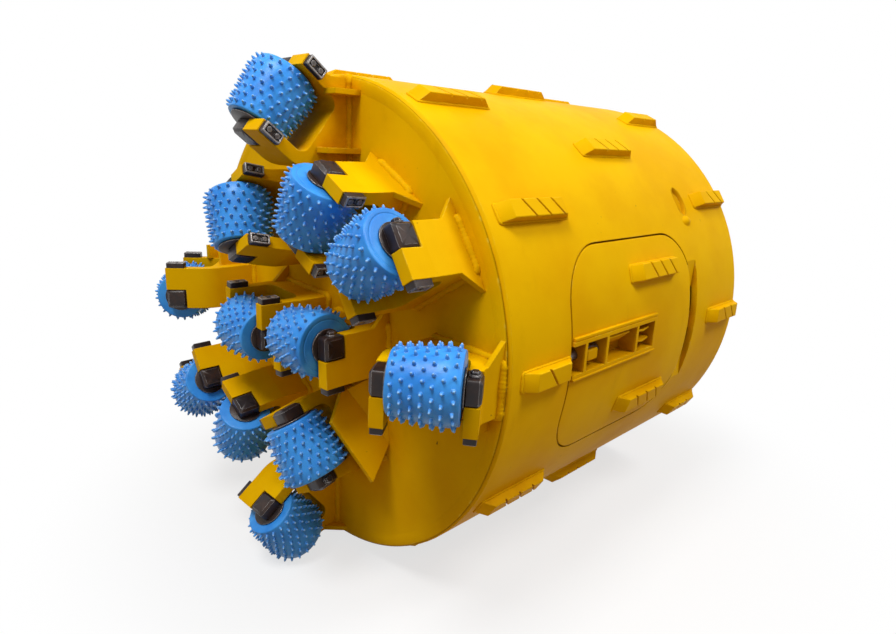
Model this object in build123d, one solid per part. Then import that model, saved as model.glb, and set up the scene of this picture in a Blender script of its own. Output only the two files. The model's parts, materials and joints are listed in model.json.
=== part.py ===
from build123d import *
from math import cos, sin, radians, pi
import os

# A full-face roller bit lying on its side. Lengths are in millimetres and angles in degrees.
# Construction frame: x = 0 is the front rim and +X runs along the drum axis to the drive end.
# Angles about the drum start at the door's centre, which faces -Y, and 90 degrees is +Z.
# The finished part is shifted along X so that its origin lies where the kelly pin crosses the axis,
# and all but the kelly box is turned to the angle at which the bit lies on its pads and lowest roller.

# Drum
drum_radius = 700
drum_length = 1280
shell_wall = 20
face_plate_thickness = 40
rear_plate_thickness = 30
rim_chamfer = 12
weld_gap = 0.2
rest_turn = 1.1

# Kelly box, a square drive socket on the rear plate
kelly_inside = 202
kelly_wall = 38
kelly_length = 300
kelly_pin_radius = 31
kelly_pin_from_plate = 190
rib_thickness = 25
rib_height = 210
rib_reach = 330
rib_nose = 30

# Wear pads
pad_count = 11
pad_width = 48
pad_height = 28
pad_end_slope = 30
front_row = (50, 315)
middle_row = (550, 820)
rear_row = (1060, 1280)
short_pad_end = 240

# Door in the barrel wall, with its hinge at the drive end
door_front = 250
door_rear = 915
door_half_width = 289
door_corner = 150
door_seam = 5
hinge_x = 930
hinge_inset = 29
hinge_cut = (912, 968)
hinge_pin_radius = 7
knuckle_radius = 14
knuckle_gap = 4
middle_knuckle_half = 28
hinge_half_width = 90
strap_depth = 22
strap_length = 110
bracket_length = 85
pin_clearance = 0.3

# Latch pocket, an open channel let into the door
pocket_end = 681
pocket_low = -41
pocket_high = 61
pocket_wall = 12
pocket_depth = 62
pocket_proud = 6
pocket_dividers = (305, 410, 570)
latch_bolt_radius = 15
latch_bolt_end = 400
latch_bolt_start = 256

# Slot in the barrel wall, with a lip at its lower end
slot_x = 970
slot_angle = 33
slot_length = 100
slot_width = 56
slot_depth = 14
lip_size = (40, 16, 14)
lip_gap = 4

# Button rollers: slightly conical, the larger end outward
roller_length = 160
roller_inner_radius = 76
roller_outer_radius = 88
inner_end_radius = 70
outer_end_radius = 82
shoulder_radius = 90
shoulder_width = 12
button_height = 11
button_rows = 5
button_count = 10
shaft_radius = 24
bore_clearance = 0.4

# Saddles
arm_clearance = 6
arm_thickness = 34
arm_low = -103
block_half = 31
block_proud = 2
cradle_clearance = 8
cradle_corner = 30
inner_knee = 110
outer_knee = 45
inner_knee_radius = 100
outer_knee_radius = 30
bent_tilt = 20
clamp_size = (30, 56, 18)

# Gussets at the foot of each saddle's outer arm, and ledges on the low side of each gauge saddle.
# Each ledge: how far inside the barrel it lies, and its length along the drum
gusset_thickness = 14
gusset_leg = 52
ledge_width = 48
ledge_table = [(48, 80), (195, 105)]
steep_tilt = 30

# Flared plate beside one saddle. Each corner: distance from the drum axis, sideways from the saddle's
# middle, distance in front of the face plate
flared_saddle = "11"
flare_corners = [(225, 25, 0), (497, -22, 0), (400, 111, 0), (290, 30, 90), (240, 28, 62)]

# Places of the rollers: how far the outer ones sit inside the barrel, and the others' distance from the axis
gauge_inset = 84
shoulder_inset = 185
far_shoulder_inset = 154

# Each roller: position angle, axis angle, distance from the drum axis,
# distance in front of the rim, tilt of the outer end towards the drum
roller_table = [
    ("01", 90.5, 90.5, drum_radius - gauge_inset, 174, 38),
    ("02", 118.5, 118.5, 335, 195, 12),
    ("03", 60.5, 60.5, 413, 182, 4),
    ("04", 32.5, 32.5, drum_radius - shoulder_inset, 180, 4),
    ("05", 180.5, 180.5, drum_radius - gauge_inset, 174, 38),
    ("06", 190, 178, 134, 182, 3),
    ("07", 5, 2, 162, 182, 3),
    ("08", 2.5, -1.5, drum_radius - gauge_inset, 174, 38),
    ("09", 213.5, 213.5, drum_radius - far_shoulder_inset, 204, 6),
    ("10", 240.5, 240.5, 415, 190, 9),
    ("11", 298.5, 298.5, 335, 195, 12),
    ("12", 270.5, 270.5, drum_radius - gauge_inset, 174, 38),
]

# Worked out from the sizes above
inner_radius = drum_radius - shell_wall
kelly_outside = kelly_inside + 2 * kelly_wall
origin_x = drum_length + kelly_pin_from_plate
pad_pitch = 360 / pad_count
half_length = roller_length / 2
button_tip = roller_outer_radius + button_height
arm_inside = half_length + arm_clearance
arm_outside = arm_inside + arm_thickness
cradle_floor = -button_tip - cradle_clearance
hinge_height = drum_radius - hinge_inset
axis_along_x = Plane(origin=(0, 0, 0), x_dir=(0, -1, 0), z_dir=(1, 0, 0))


def export(node, *solids, turn=rest_turn):
    """Write one node, turned as it lies and shifted so that the kelly pin crosses the drum axis at the origin."""
    shift = Pos(-origin_x, 0, 0) * Rot(turn, 0, 0)
    shapes = [shift * solid for solid in solids]
    whole = shapes[0] if len(shapes) == 1 else Compound(children=shapes)
    export_step(whole, os.path.join("parts", node + ".step"))


def disc(radius, x_from, x_to):
    """A round disc or bar along the drum axis."""
    return axis_along_x.offset(x_from) * extrude(Circle(radius), x_to - x_from)


def block(x_range, y_range, z_range):
    """A block between two values along each axis."""
    sizes = [high - low for low, high in (x_range, y_range, z_range)]
    middle = [(high + low) / 2 for low, high in (x_range, y_range, z_range)]
    return Pos(*middle) * Box(*sizes)


def turned(angle):
    """Turn a shape made at the door's centre to another angle about the drum."""
    return Rot(-angle, 0, 0)


def door_outline(grow):
    """The door's outline, a rounded rectangle carried straight through the wall."""
    length = door_rear - door_front + 2 * grow
    width = 2 * (door_half_width + grow)
    outline = RectangleRounded(length, width, door_corner + grow)
    plane = Plane(origin=((door_front + door_rear) / 2, 0, 0), x_dir=(1, 0, 0), z_dir=(0, -1, 0))
    return plane * extrude(outline, 2 * drum_radius)


def drum_shell():
    """Rolled wall with the door opening, the flat hinge cut and the slot."""
    tube = disc(drum_radius, 0, drum_length)
    tube = chamfer(tube.edges().sort_by(Axis.X)[0], rim_chamfer)
    tube -= disc(inner_radius, 0, drum_length)
    reach = drum_radius + shell_wall
    hinge_clear = block(hinge_cut, (-reach, -hinge_height), (-reach, reach))
    slot_plane = Plane(origin=(slot_x, 0, 0), x_dir=(0, 0, 1), z_dir=(0, -1, 0))
    slot = turned(slot_angle) * (slot_plane * extrude(SlotOverall(slot_length, slot_width), reach))
    recess = slot - disc(drum_radius - slot_depth, 0, drum_length)
    return tube - door_outline(door_seam) - hinge_clear - recess


def pad(x_from, x_to, angle):
    """One wear bar with a flat base on the barrel and sloping ends."""
    base = drum_radius + weld_gap
    top = drum_radius + pad_height
    corners = [
        (x_from, base),
        (x_to, base),
        (x_to - pad_end_slope, top),
        (x_from + pad_end_slope, top),
    ]
    plane = Plane(origin=(0, 0, 0), x_dir=(1, 0, 0), z_dir=(0, 0, 1))
    side = make_face(Polyline([(x, -r) for x, r in corners], close=True))
    return turned(angle) * (plane * extrude(side, pad_width / 2, both=True))


def pad_row(row, first_angle, skipped=(), short=()):
    """A row of pads around the barrel, as separate bars."""
    bars = []
    for index in range(pad_count):
        x_to = short_pad_end if index in short else row[1]
        if index not in skipped:
            bars.append(pad(row[0], x_to, first_angle + index * pad_pitch))
    return bars


def kelly_box():
    """Square socket with a pin hole through two of its walls."""
    x_range = (drum_length, drum_length + kelly_length)
    outside = (-kelly_outside / 2, kelly_outside / 2)
    inside = (-kelly_inside / 2, kelly_inside / 2)
    pin = Pos(origin_x, 0, 0) * Rot(90, 0, 0) * Cylinder(kelly_pin_radius, 2 * kelly_outside)
    return block(x_range, outside, outside) - block(x_range, inside, inside) - pin


def kelly_ribs():
    """Eight triangular ribs in line with the walls of the kelly box."""
    ribs = []
    corners = [(0, 0), (rib_reach, 0), (rib_reach, rib_nose), (rib_nose, rib_height), (0, rib_height)]
    profile = make_face(Polyline(corners, close=True))
    for quarter in range(4):
        for side in (-1, 1):
            middle = side * (kelly_outside - rib_thickness) / 2
            corner = (drum_length, -kelly_outside / 2, middle)
            plane = Plane(origin=corner, x_dir=(0, -1, 0), z_dir=(0, 0, 1))
            rib = plane * extrude(profile, rib_thickness / 2, both=True)
            ribs.append(turned(90 * quarter) * rib)
    return ribs


def door_panel():
    """Curved panel of the barrel wall with the latch pocket's slot."""
    wall = disc(drum_radius, door_front, door_rear) - disc(inner_radius, door_front, door_rear)
    reach = 2 * drum_radius
    slot = block((door_front - pocket_wall, pocket_end), (-reach, 0), (pocket_low, pocket_high))
    return (wall & door_outline(0)) - slot


def latch_frame():
    """Open-topped channel in the door, with dividers between its cells."""
    low = pocket_low + weld_gap
    high = pocket_high - weld_gap
    top = -drum_radius - pocket_proud
    floor = -drum_radius + pocket_depth
    frame = block((door_front, pocket_end - weld_gap), (top, floor), (low, high))
    bounds = (door_front - pocket_wall / 2,) + pocket_dividers + (pocket_end - pocket_wall / 2,)
    for left, right in zip(bounds, bounds[1:]):
        cell = (left + pocket_wall / 2, right - pocket_wall / 2)
        frame -= block(cell, (top, floor - pocket_wall), (low + pocket_wall, high - pocket_wall))
    return frame - latch_bar(latch_bolt_radius + pin_clearance)


def latch_bar(radius):
    """Round bar of the latch bolt, lying along the pocket."""
    middle = (pocket_low + pocket_high) / 2
    height = drum_radius - pocket_depth / 2
    return Pos(0, -height, middle) * disc(radius, latch_bolt_start, latch_bolt_end)


def hinge_leaf(z_from, z_to, x_from, x_to):
    """A flat leaf under the wall with a knuckle round the hinge pin."""
    height = hinge_height + knuckle_radius
    leaf = block((x_from, x_to), (-height, -drum_radius + shell_wall + strap_depth), (z_from, z_to))
    leaf = leaf & disc(inner_radius - weld_gap, x_from, x_to)
    knuckle = Pos(hinge_x, -hinge_height, (z_from + z_to) / 2) * Cylinder(knuckle_radius, z_to - z_from)
    return leaf + knuckle


def hinge_bar(radius, length):
    """A round bar on the hinge axis."""
    return Pos(hinge_x, -hinge_height, 0) * Cylinder(radius, length)


def ring(count, radius, along, turn):
    """Points of a regular polygon round the roller axis."""
    step = 2 * pi / count
    return [(along, radius * cos(step * (k + turn)), radius * sin(step * (k + turn))) for k in range(count)]


def roller_radius(along):
    """Radius of the roller body between its buttons."""
    share = (along + half_length) / roller_length
    return roller_inner_radius + (roller_outer_radius - roller_inner_radius) * share


def roller():
    """A bored conical body closed by its buttons: points of each row stand out in turn, half a step apart."""
    double = 2 * button_count
    bore_radius = (shaft_radius + bore_clearance) / cos(pi / double)
    row_pitch = (roller_length - shoulder_width) / (button_rows + 0.5)
    rows = []
    for row in range(button_rows):
        along = -half_length + row_pitch * (row + 0.75)
        valley = ring(double, roller_radius(along), along, 0)
        tip = ring(double, roller_radius(along) + button_height, along, 0)
        rows.append([tip[k] if (k + row) % 2 == 0 else valley[k] for k in range(double)])
    inner_edge = ring(double, inner_end_radius, -half_length, 0)
    shoulder = ring(double, shoulder_radius, half_length - shoulder_width, 0)
    outer_edge = ring(double, outer_end_radius, half_length, 0)
    bore_start = ring(double, bore_radius, -half_length, 0)
    bore_end = ring(double, bore_radius, half_length, 0)
    rings = [inner_edge] + rows + [shoulder]
    corners = []
    for index, (lower, upper) in enumerate(zip(rings, rings[1:])):
        for k in range(double):
            after = (k + 1) % double
            if (k + index) % 2 == 0:
                corners.append((lower[k], lower[after], upper[after]))
                corners.append((lower[k], upper[after], upper[k]))
            else:
                corners.append((lower[k], lower[after], upper[k]))
                corners.append((lower[after], upper[after], upper[k]))
    closing = [shoulder, outer_edge, bore_end, bore_start, inner_edge]
    for lower, upper in zip(closing, closing[1:]):
        for k in range(double):
            after = (k + 1) % double
            corners.append((lower[k], lower[after], upper[after], upper[k]))
    faces = [Face(Wire.make_polygon(points, close=True)) for points in corners]
    return Solid(Shell(faces))


def shaft():
    """Fixed shaft, faceted like the roller's bore, with a square block at each end."""
    section = Plane.YZ * RegularPolygon(shaft_radius, 2 * button_count)
    bar = extrude(section, arm_inside, both=True)
    block_end = arm_outside + block_proud
    for side in (-1, 1):
        end_middle = side * (arm_inside + block_end) / 2
        bar += Pos(end_middle, 0, 0) * Box(block_end - arm_inside, 2 * block_half, 2 * block_half)
    return bar


def saddle_place(row):
    """Plane at the roller's centre: x along the roller axis, z away from the cradle."""
    name, position, axis_angle, distance, ahead, tilt = row
    centre = (-ahead, -distance * cos(radians(position)), distance * sin(radians(position)))
    out_y = -cos(radians(axis_angle))
    out_z = sin(radians(axis_angle))
    lean = sin(radians(tilt))
    rise = cos(radians(tilt))
    along = (lean, rise * out_y, rise * out_z)
    facing = (-rise, lean * out_y, lean * out_z)
    return Plane(origin=centre, x_dir=along, z_dir=facing)


def foot_point(row, along, depth):
    """Where a line along the drum axis, from a point of the saddle's side outline, meets the face plate."""
    ahead, tilt = row[4], radians(row[5])
    left = ahead - along * sin(tilt) + depth * cos(tilt)
    return (along + left * sin(tilt), depth - left * cos(tilt))


def plate_along_drum(row, foot, corners):
    """A plate that lies along the drum axis from a foot on the face plate; corners are (forward, sideways)."""
    tilt = radians(row[5])
    forward = (-sin(tilt), 0, cos(tilt))
    inward = (-cos(tilt), 0, -sin(tilt))
    plane = Plane(origin=(foot[0], 0, foot[1]), x_dir=forward, z_dir=inward)
    return plane * extrude(make_face(Polyline(corners, close=True)), gusset_thickness)


def gussets(row):
    """Triangles on both sides of the outer arm's foot, and ledges on the low side of a gauge saddle."""
    name, position, axis_angle, distance, ahead, tilt = row
    steep = tilt > steep_tilt
    foot = foot_point(row, arm_outside, -outer_knee)
    triangle = [(0, block_half), (gusset_leg, block_half), (0, block_half + gusset_leg)]
    plates = [plate_along_drum(row, foot, triangle)]
    if not steep:
        triangle = [(0, arm_low), (gusset_leg, arm_low), (0, arm_low - gusset_leg)]
        plates.append(plate_along_drum(row, foot, triangle))
        return plates
    lean = radians(tilt)
    low = arm_low - ledge_width
    for inset, length in ledge_table:
        rise = drum_radius - inset - distance
        ledge_foot = (ahead * sin(lean) + rise * cos(lean), rise * sin(lean) - ahead * cos(lean))
        corners = [(0, arm_low), (length, arm_low), (length, low), (0, low)]
        plates.append(plate_along_drum(row, ledge_foot, corners))
    return plates


def flare(row):
    """A six-faced wedge that flares from the saddle's high side to the face plate."""
    turn = radians(row[2])
    points = []
    for distance, sideways, ahead in flare_corners:
        y = -distance * cos(turn) + sideways * sin(turn)
        z = distance * sin(turn) + sideways * cos(turn)
        points.append((-ahead, y, z))
    near, far, side, top, shoulder = points
    corners = [
        (near, side, far),
        (near, far, top),
        (far, side, top),
        (side, shoulder, top),
        (side, near, shoulder),
        (near, top, shoulder),
    ]
    return Solid(Shell([Face(Wire.make_polygon(corner, close=True)) for corner in corners]))


def saddle(row):
    """U-shaped bracket with notched arms, rounded inner corners and bent outer walls, on the face plate."""
    outside = [
        (-arm_outside, block_half),
        (-arm_outside, -inner_knee),
        foot_point(row, -arm_outside, -inner_knee),
        foot_point(row, arm_outside, -outer_knee),
        (arm_outside, -outer_knee),
        (arm_outside, block_half),
        (arm_inside, block_half),
        (arm_inside, cradle_floor),
        (-arm_inside, cradle_floor),
        (-arm_inside, block_half),
    ]
    outline = make_face(Polyline(outside, close=True))
    bends = [(arm_inside, cradle_floor, cradle_corner), (-arm_inside, cradle_floor, cradle_corner)]
    if row[5] > bent_tilt:
        bends += [(-arm_outside, -inner_knee, inner_knee_radius), (arm_outside, -outer_knee, outer_knee_radius)]
    for along, depth, radius in bends:
        outline = fillet(outline.vertices().sort_by_distance((along, depth, 0))[0], radius)
    side_plane = Plane(origin=(0, 0, 0), x_dir=(1, 0, 0), z_dir=(0, -1, 0))
    body = side_plane.offset(-block_half) * extrude(outline, block_half - arm_low)
    for side in (-1, 1):
        middle = side * (arm_inside + arm_outside) / 2
        body -= Pos(middle, 0, 0) * Box(arm_thickness, 2 * block_half, 2 * block_half)
    for plate in gussets(row):
        body += plate
    placed = saddle_place(row) * body
    if row[0] == flared_saddle:
        placed += flare(row)
    reach = 2 * drum_radius
    return placed - block((0, reach), (-reach, reach), (-reach, reach))


def clamp_blocks(row):
    """Clamp block on the low edge of each arm, in line with the shaft's end block."""
    length, height, depth = clamp_size
    place = saddle_place(row)
    middle = (arm_inside + arm_outside) / 2
    blocks = []
    for side in (-1, 1):
        blocks.append(place * (Pos(side * middle, arm_low - depth / 2, 0) * Box(length, depth, height)))
    return blocks


os.makedirs("parts", exist_ok=True)

export("drum_shell", drum_shell())
export("face_plate", disc(inner_radius - weld_gap, 0, face_plate_thickness))
export("rear_plate", disc(inner_radius - weld_gap, drum_length - rear_plate_thickness, drum_length))
export("kelly_box", kelly_box(), turn=0)
export("kelly_ribs", *kelly_ribs(), turn=0)

door_pads = (0, pad_count - 1)
export("pads_front", *pad_row(front_row, 0, short=(0,)))
export("pads_middle", *pad_row(middle_row, pad_pitch / 2, skipped=door_pads))
export("pads_rear", *pad_row(rear_row, 0))
export("door_pads", *[pad(*middle_row, side * pad_pitch / 2) for side in (-1, 1)])

export("door_panel", door_panel())
export("latch_frame", latch_frame())
export("latch_bolt", latch_bar(latch_bolt_radius))

pin_hole = hinge_bar(hinge_pin_radius + pin_clearance, 2 * hinge_half_width)
bracket = hinge_leaf(-middle_knuckle_half, middle_knuckle_half, hinge_x, hinge_x + bracket_length)
export("hinge_bracket", bracket - pin_hole)
straps = []
for side in (-1, 1):
    near = side * (middle_knuckle_half + knuckle_gap)
    far = side * hinge_half_width
    leaf = hinge_leaf(min(near, far), max(near, far), hinge_x - strap_length, hinge_x)
    straps.append(leaf - pin_hole)
export("hinge_straps", *straps)
export("hinge_pin", hinge_bar(hinge_pin_radius, 2 * hinge_half_width + 2 * knuckle_gap))

lip_length, lip_width, lip_height = lip_size
lip = block(
    (slot_x - lip_length / 2, slot_x + lip_length / 2),
    (-drum_radius - lip_height, -drum_radius + shell_wall / 2),
    (-slot_length / 2 - lip_gap - lip_width, -slot_length / 2 - lip_gap),
)
export("slot_lip", turned(slot_angle) * (lip - disc(drum_radius + weld_gap, slot_x - lip_length, slot_x + lip_length)))

one_roller = roller()
one_shaft = shaft()
shafts = []
clamps = []
for row in roller_table:
    place = saddle_place(row)
    export("saddle_" + row[0], saddle(row))
    export("roller_" + row[0], place * one_roller)
    shafts.append(place * one_shaft)
    clamps += clamp_blocks(row)
export("shafts", *shafts)
export("clamp_blocks", *clamps)
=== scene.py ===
# %% [markdown]
# # A roller bit, dressed in Blender
# A roller bit is the cutting end of a large drilling rig: a steel drum whose closed face carries twelve
# studded rollers. The drum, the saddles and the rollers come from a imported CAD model, which is loaded
# first and never moved. The cells below add what the solids leave out: paint, studs, bolts, welds and
# light.

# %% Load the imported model
import json
from math import atan2, cos, sin, radians, pi

import bpy
import numpy as np
from mathutils import Matrix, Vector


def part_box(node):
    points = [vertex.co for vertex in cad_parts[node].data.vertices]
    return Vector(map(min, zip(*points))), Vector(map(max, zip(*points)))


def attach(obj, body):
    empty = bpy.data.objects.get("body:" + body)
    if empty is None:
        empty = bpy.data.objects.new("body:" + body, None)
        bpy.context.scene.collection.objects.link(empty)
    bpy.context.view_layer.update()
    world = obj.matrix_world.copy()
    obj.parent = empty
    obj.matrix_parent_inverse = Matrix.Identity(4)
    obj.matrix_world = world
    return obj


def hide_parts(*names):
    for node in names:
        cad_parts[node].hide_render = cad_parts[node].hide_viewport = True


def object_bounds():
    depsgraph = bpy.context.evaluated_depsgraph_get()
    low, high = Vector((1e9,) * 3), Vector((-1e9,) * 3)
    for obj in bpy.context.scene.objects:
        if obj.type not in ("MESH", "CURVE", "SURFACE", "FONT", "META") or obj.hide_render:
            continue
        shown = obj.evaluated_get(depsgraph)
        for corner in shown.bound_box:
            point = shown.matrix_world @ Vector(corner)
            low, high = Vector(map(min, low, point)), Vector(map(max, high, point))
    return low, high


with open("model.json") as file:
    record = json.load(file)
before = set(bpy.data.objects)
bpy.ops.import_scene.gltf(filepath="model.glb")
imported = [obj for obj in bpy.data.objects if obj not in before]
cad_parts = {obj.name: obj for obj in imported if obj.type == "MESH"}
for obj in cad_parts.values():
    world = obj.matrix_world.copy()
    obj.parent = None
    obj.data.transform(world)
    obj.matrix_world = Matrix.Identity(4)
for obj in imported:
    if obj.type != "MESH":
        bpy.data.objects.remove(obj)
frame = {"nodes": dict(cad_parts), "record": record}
cad_low, cad_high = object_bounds()
nodes = frame["nodes"]
joints = frame["record"]["behaviour"]["joints"]
print("nodes", len(nodes), "box", [round(v, 3) for v in (*cad_low, *cad_high)])

# %% [markdown]
# ## The camera
# The camera stands before the cutting face, to the door's side. Its place, angles and lens come from a fit
# to the drum's two ellipses and its pads. It could be aimed by hand or by a constraint, but a matrix built
# from directions says exactly where it looks. The drum in the picture is rolled by a few degrees, so the
# place and the directions are turned by that roll about the drum axis.

# %% Camera at the picture's view
DRUM_ROLL = radians(2.4)
CAMERA_PLACE = np.array([-2.5114, -1.5529, 0.4291])
CAMERA_YAW = 0.7825
CAMERA_PITCH = -0.2243
CAMERA_LENS = 25.03
SENSOR_WIDTH = 36


def rolled(vector):
    """Turn a vector about the drum axis by the drum's roll."""
    x, y, z = vector
    return np.array([x, y * cos(DRUM_ROLL) + z * sin(DRUM_ROLL), z * cos(DRUM_ROLL) - y * sin(DRUM_ROLL)])


def aim(item, right, ahead, place):
    """Put an item at a place: its x runs right, its y is right cross ahead, and its z points back."""
    turn = np.eye(4)
    turn[:3] = np.stack([right, np.cross(right, ahead), -ahead, place], axis=1)
    item.matrix_world = Matrix(turn.tolist())
    bpy.context.scene.collection.objects.link(item)


level_way = cos(CAMERA_PITCH)
ahead = np.array([sin(CAMERA_YAW) * level_way, cos(CAMERA_YAW) * level_way, sin(CAMERA_PITCH)])
right = np.array([cos(CAMERA_YAW), -sin(CAMERA_YAW), 0.0])
camera_data = bpy.data.cameras.new("camera")
camera_data.sensor_width = SENSOR_WIDTH
camera_data.lens = CAMERA_LENS
camera = bpy.data.objects.new("camera", camera_data)
aim(camera, rolled(right), rolled(ahead), rolled(CAMERA_PLACE))
bpy.context.scene.camera = camera
bpy.context.scene.view_settings.view_transform = "Standard"
print("camera at", [round(float(v), 3) for v in rolled(CAMERA_PLACE)])

# %% [markdown]
# ## Shader maths as Python
# A material is a graph of nodes. The nodes could be made and linked one by one, which takes many lines
# that hide the idea. This class wraps one output of a node, so that sums and products of outputs are
# written as plain expressions, and each expression adds its Math nodes by itself.

# %% A wire between shader nodes


class Wire:
    """One output of a shader node."""

    def __init__(self, tree, socket):
        self.tree = tree
        self.socket = socket

    def make(self, kind, settings=None, inputs=None, output=0):
        """Add a node of a kind, set its settings first, then give its sockets their values or links."""
        node = self.tree.nodes.new(kind)
        for name, value in (settings or {}).items():
            setattr(node, name, value)
        for key, value in (inputs or {}).items():
            if isinstance(value, Wire):
                self.tree.links.new(value.socket, node.inputs[key])
            else:
                node.inputs[key].default_value = value
        return Wire(self.tree, node.outputs[output])

    def math(self, operation, *values):
        """The result of one Math operation on values or wires."""
        return self.make("ShaderNodeMath", {"operation": operation}, dict(enumerate(values)))

    def __add__(self, other):
        return self.math("ADD", self, other)

    def __radd__(self, other):
        return self.math("ADD", other, self)

    def __sub__(self, other):
        return self.math("SUBTRACT", self, other)

    def __rsub__(self, other):
        return self.math("SUBTRACT", other, self)

    def __mul__(self, other):
        return self.math("MULTIPLY", self, other)

    def __rmul__(self, other):
        return self.math("MULTIPLY", other, self)

    def between(self, low, high):
        """A smooth step from 0 at low to 1 at high."""
        values = {"Value": self, "From Min": low, "From Max": high}
        return self.make("ShaderNodeMapRange", {"interpolation_type": "SMOOTHSTEP"}, values, "Result")

    def noise(self, scale, detail=3.0, rough=0.55):
        """Cloudy noise from 0 to 1 at this place, with patches of about one metre over scale."""
        values = {"Vector": self, "Scale": scale, "Detail": detail, "Roughness": rough}
        return self.make("ShaderNodeTexNoise", None, values, "Fac")

    def stretched(self, x, y, z):
        """This place with each axis multiplied, which draws a pattern out along axes with small factors."""
        return self.make("ShaderNodeVectorMath", {"operation": "MULTIPLY"}, {0: self, 1: (x, y, z)})

    def mix(self, first, second):
        """A colour from the first, at 0, to the second, at 1. The node's colours are sockets 6, 7 and 2."""
        return self.make("ShaderNodeMix", {"data_type": "RGBA"}, {0: self, 6: first, 7: second}, 2)

    def feed(self, shader, name):
        """Lead this wire to one socket of a shader."""
        self.tree.links.new(self.socket, shader.inputs[name])


def new_finish(name):
    """A material with its shader node and a wire that carries Object coordinates."""
    material = bpy.data.materials.new(name)
    material.use_nodes = True
    tree = material.node_tree
    coordinates = tree.nodes.new("ShaderNodeTexCoord")
    return material, tree.nodes["Principled BSDF"], Wire(tree, coordinates.outputs["Object"])


def linear(red, green, blue):
    """A colour given as screen values from 0 to 255, as the linear colour that a shader takes."""
    share = np.array([red, green, blue]) / 255
    values = np.where(share <= 0.04045, share / 12.92, ((share + 0.055) / 1.055) ** 2.4)
    return (*values.tolist(), 1.0)


print("shader helpers ready")

# %% [markdown]
# ## Edges, corners and tips
# Steel plate has no razor edges, and paint wears off edges first. Modelled bevels would cost many faces on
# every plate. The Bevel node gives the normal that a small rounding would have, so each edge catches light,
# and where that normal leans from the true one there is an edge: to wear, and in the paints also to lighten
# as a painted highlight. The Ambient Occlusion node finds the corners, which the paints darken as painted
# shade. Tips of small forms are marked by a value stored at each point of the mesh.

# %% Masks for wear, painted highlights and painted shade
EDGE_RADIUS = 0.0035
WEAR_RADIUS = 0.006
MASK_SAMPLES = 6


def rounded_normal(place, radius):
    """The normal of the surface with its edges rounded by a radius."""
    return place.make("ShaderNodeBevel", {"samples": MASK_SAMPLES}, {"Radius": radius}, "Normal")


def edge_mask(place, radius):
    """From 0 on flat faces to 1 on edges, by how far the rounded normal leans from the true one."""
    true_normal = place.make("ShaderNodeNewGeometry", None, None, "Normal")
    values = {0: rounded_normal(place, radius), 1: true_normal}
    likeness = place.make("ShaderNodeVectorMath", {"operation": "DOT_PRODUCT"}, values, "Value")
    return (1 - likeness).between(0.01, 0.16)


def openness(place, reach):
    """From 0 in tight corners to 1 in the open: the share of the space within reach that is free."""
    return place.make("ShaderNodeAmbientOcclusion", {"samples": MASK_SAMPLES}, {"Distance": reach}, "AO")


def tip_mask(place):
    """The value stored at each point of a mesh that marks its tips."""
    return place.make("ShaderNodeAttribute", {"attribute_name": "tip"}, None, "Fac")


def bumped(place, height, distance, strength, normal):
    """The normal of a surface with a height pattern on it."""
    values = {"Height": height, "Distance": distance, "Strength": strength, "Normal": normal}
    return place.make("ShaderNodeBump", None, values, "Normal")


print("mask helpers ready")

# %% [markdown]
# ## Yellow paint
# The drum and its saddles are brushed and sprayed with thick satin paint. The real coat is uneven: it
# varies in tone, carries runs of grime and has a few chips down to the primer. Its colour is also darkened
# in the corners as painted shade and lightened in patches along the edges as a painted highlight. It could
# be painted on by hand for each plate. Layers of noise in Object coordinates dress every plate at once, and
# stay fixed to the piece from every side.

# %% Yellow paint
YELLOW = linear(243, 189, 2)
YELLOW_DEEP = linear(233, 173, 0)
# A painted highlight along edges
YELLOW_EDGE_HIGHLIGHT = linear(255, 218, 72)
# Brown for grime in runs, and for painted shade in corners and in the hollow
GRIME_AND_SHADE = linear(150, 76, 0)
PRIMER = linear(112, 76, 30)
PAINT_GLOSS = 0.02
PAINT_RELIEF = 0.0012
# How far the painted shade in corners reaches
CORNER_SHADE_REACH = 0.11


def yellow_paint(name, rough, shade_all_over=0.0):
    """Satin paint: tone, grime runs, chips, painted shade in corners and all over, painted edge highlights.
    """
    material, shader, place = new_finish(name)
    shader.inputs["Specular IOR Level"].default_value = PAINT_GLOSS
    shade = place.noise(3.5, 5.0).between(0.35, 0.7)
    smudge = place.noise(9.0, 6.0, 0.65).between(0.42, 0.75)
    # Painted shade: darker in corners, where less light reaches
    corner = 1 - openness(place, CORNER_SHADE_REACH).between(0.15, 0.95)
    runs = place.stretched(1.0, 1.0, 0.16).noise(14.0, 4.0).between(0.56, 0.8)
    # Edges in patches: partly wear, partly a painted highlight where edges catch the light
    edge_wear_and_highlight = edge_mask(place, WEAR_RADIUS) * place.noise(34.0, 6.0, 0.7).between(0.5, 0.66)
    chips = place.noise(58.0, 5.0, 0.6).between(0.7, 0.735) * place.noise(4.0, 2.0).between(0.48, 0.62)
    colour = shade.mix(YELLOW, YELLOW_DEEP)
    # Painted shade in corners, in patches
    colour = (corner * (0.35 + 0.5 * smudge)).mix(colour, GRIME_AND_SHADE)
    # Grime in runs, plus painted shade all over where the finish asks for it
    colour = (shade_all_over + 0.2 * runs * smudge).mix(colour, GRIME_AND_SHADE)
    # Painted highlight along the edges
    colour = (0.7 * edge_wear_and_highlight).mix(colour, YELLOW_EDGE_HIGHLIGHT)
    colour = (0.8 * chips).mix(colour, PRIMER)
    colour.feed(shader, "Base Color")
    (rough + 0.14 * place.noise(22.0, 4.0) + 0.2 * chips).feed(shader, "Roughness")
    peel = place.noise(260.0, 2.0) * 0.35 + place.noise(24.0, 3.0) - 1.1 * chips
    bumped(place, peel, PAINT_RELIEF, 0.35, rounded_normal(place, EDGE_RADIUS)).feed(shader, "Normal")
    return material


finishes = {"yellow_paint": yellow_paint("yellow_paint", rough=0.4)}
print("yellow paint ready")

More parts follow.
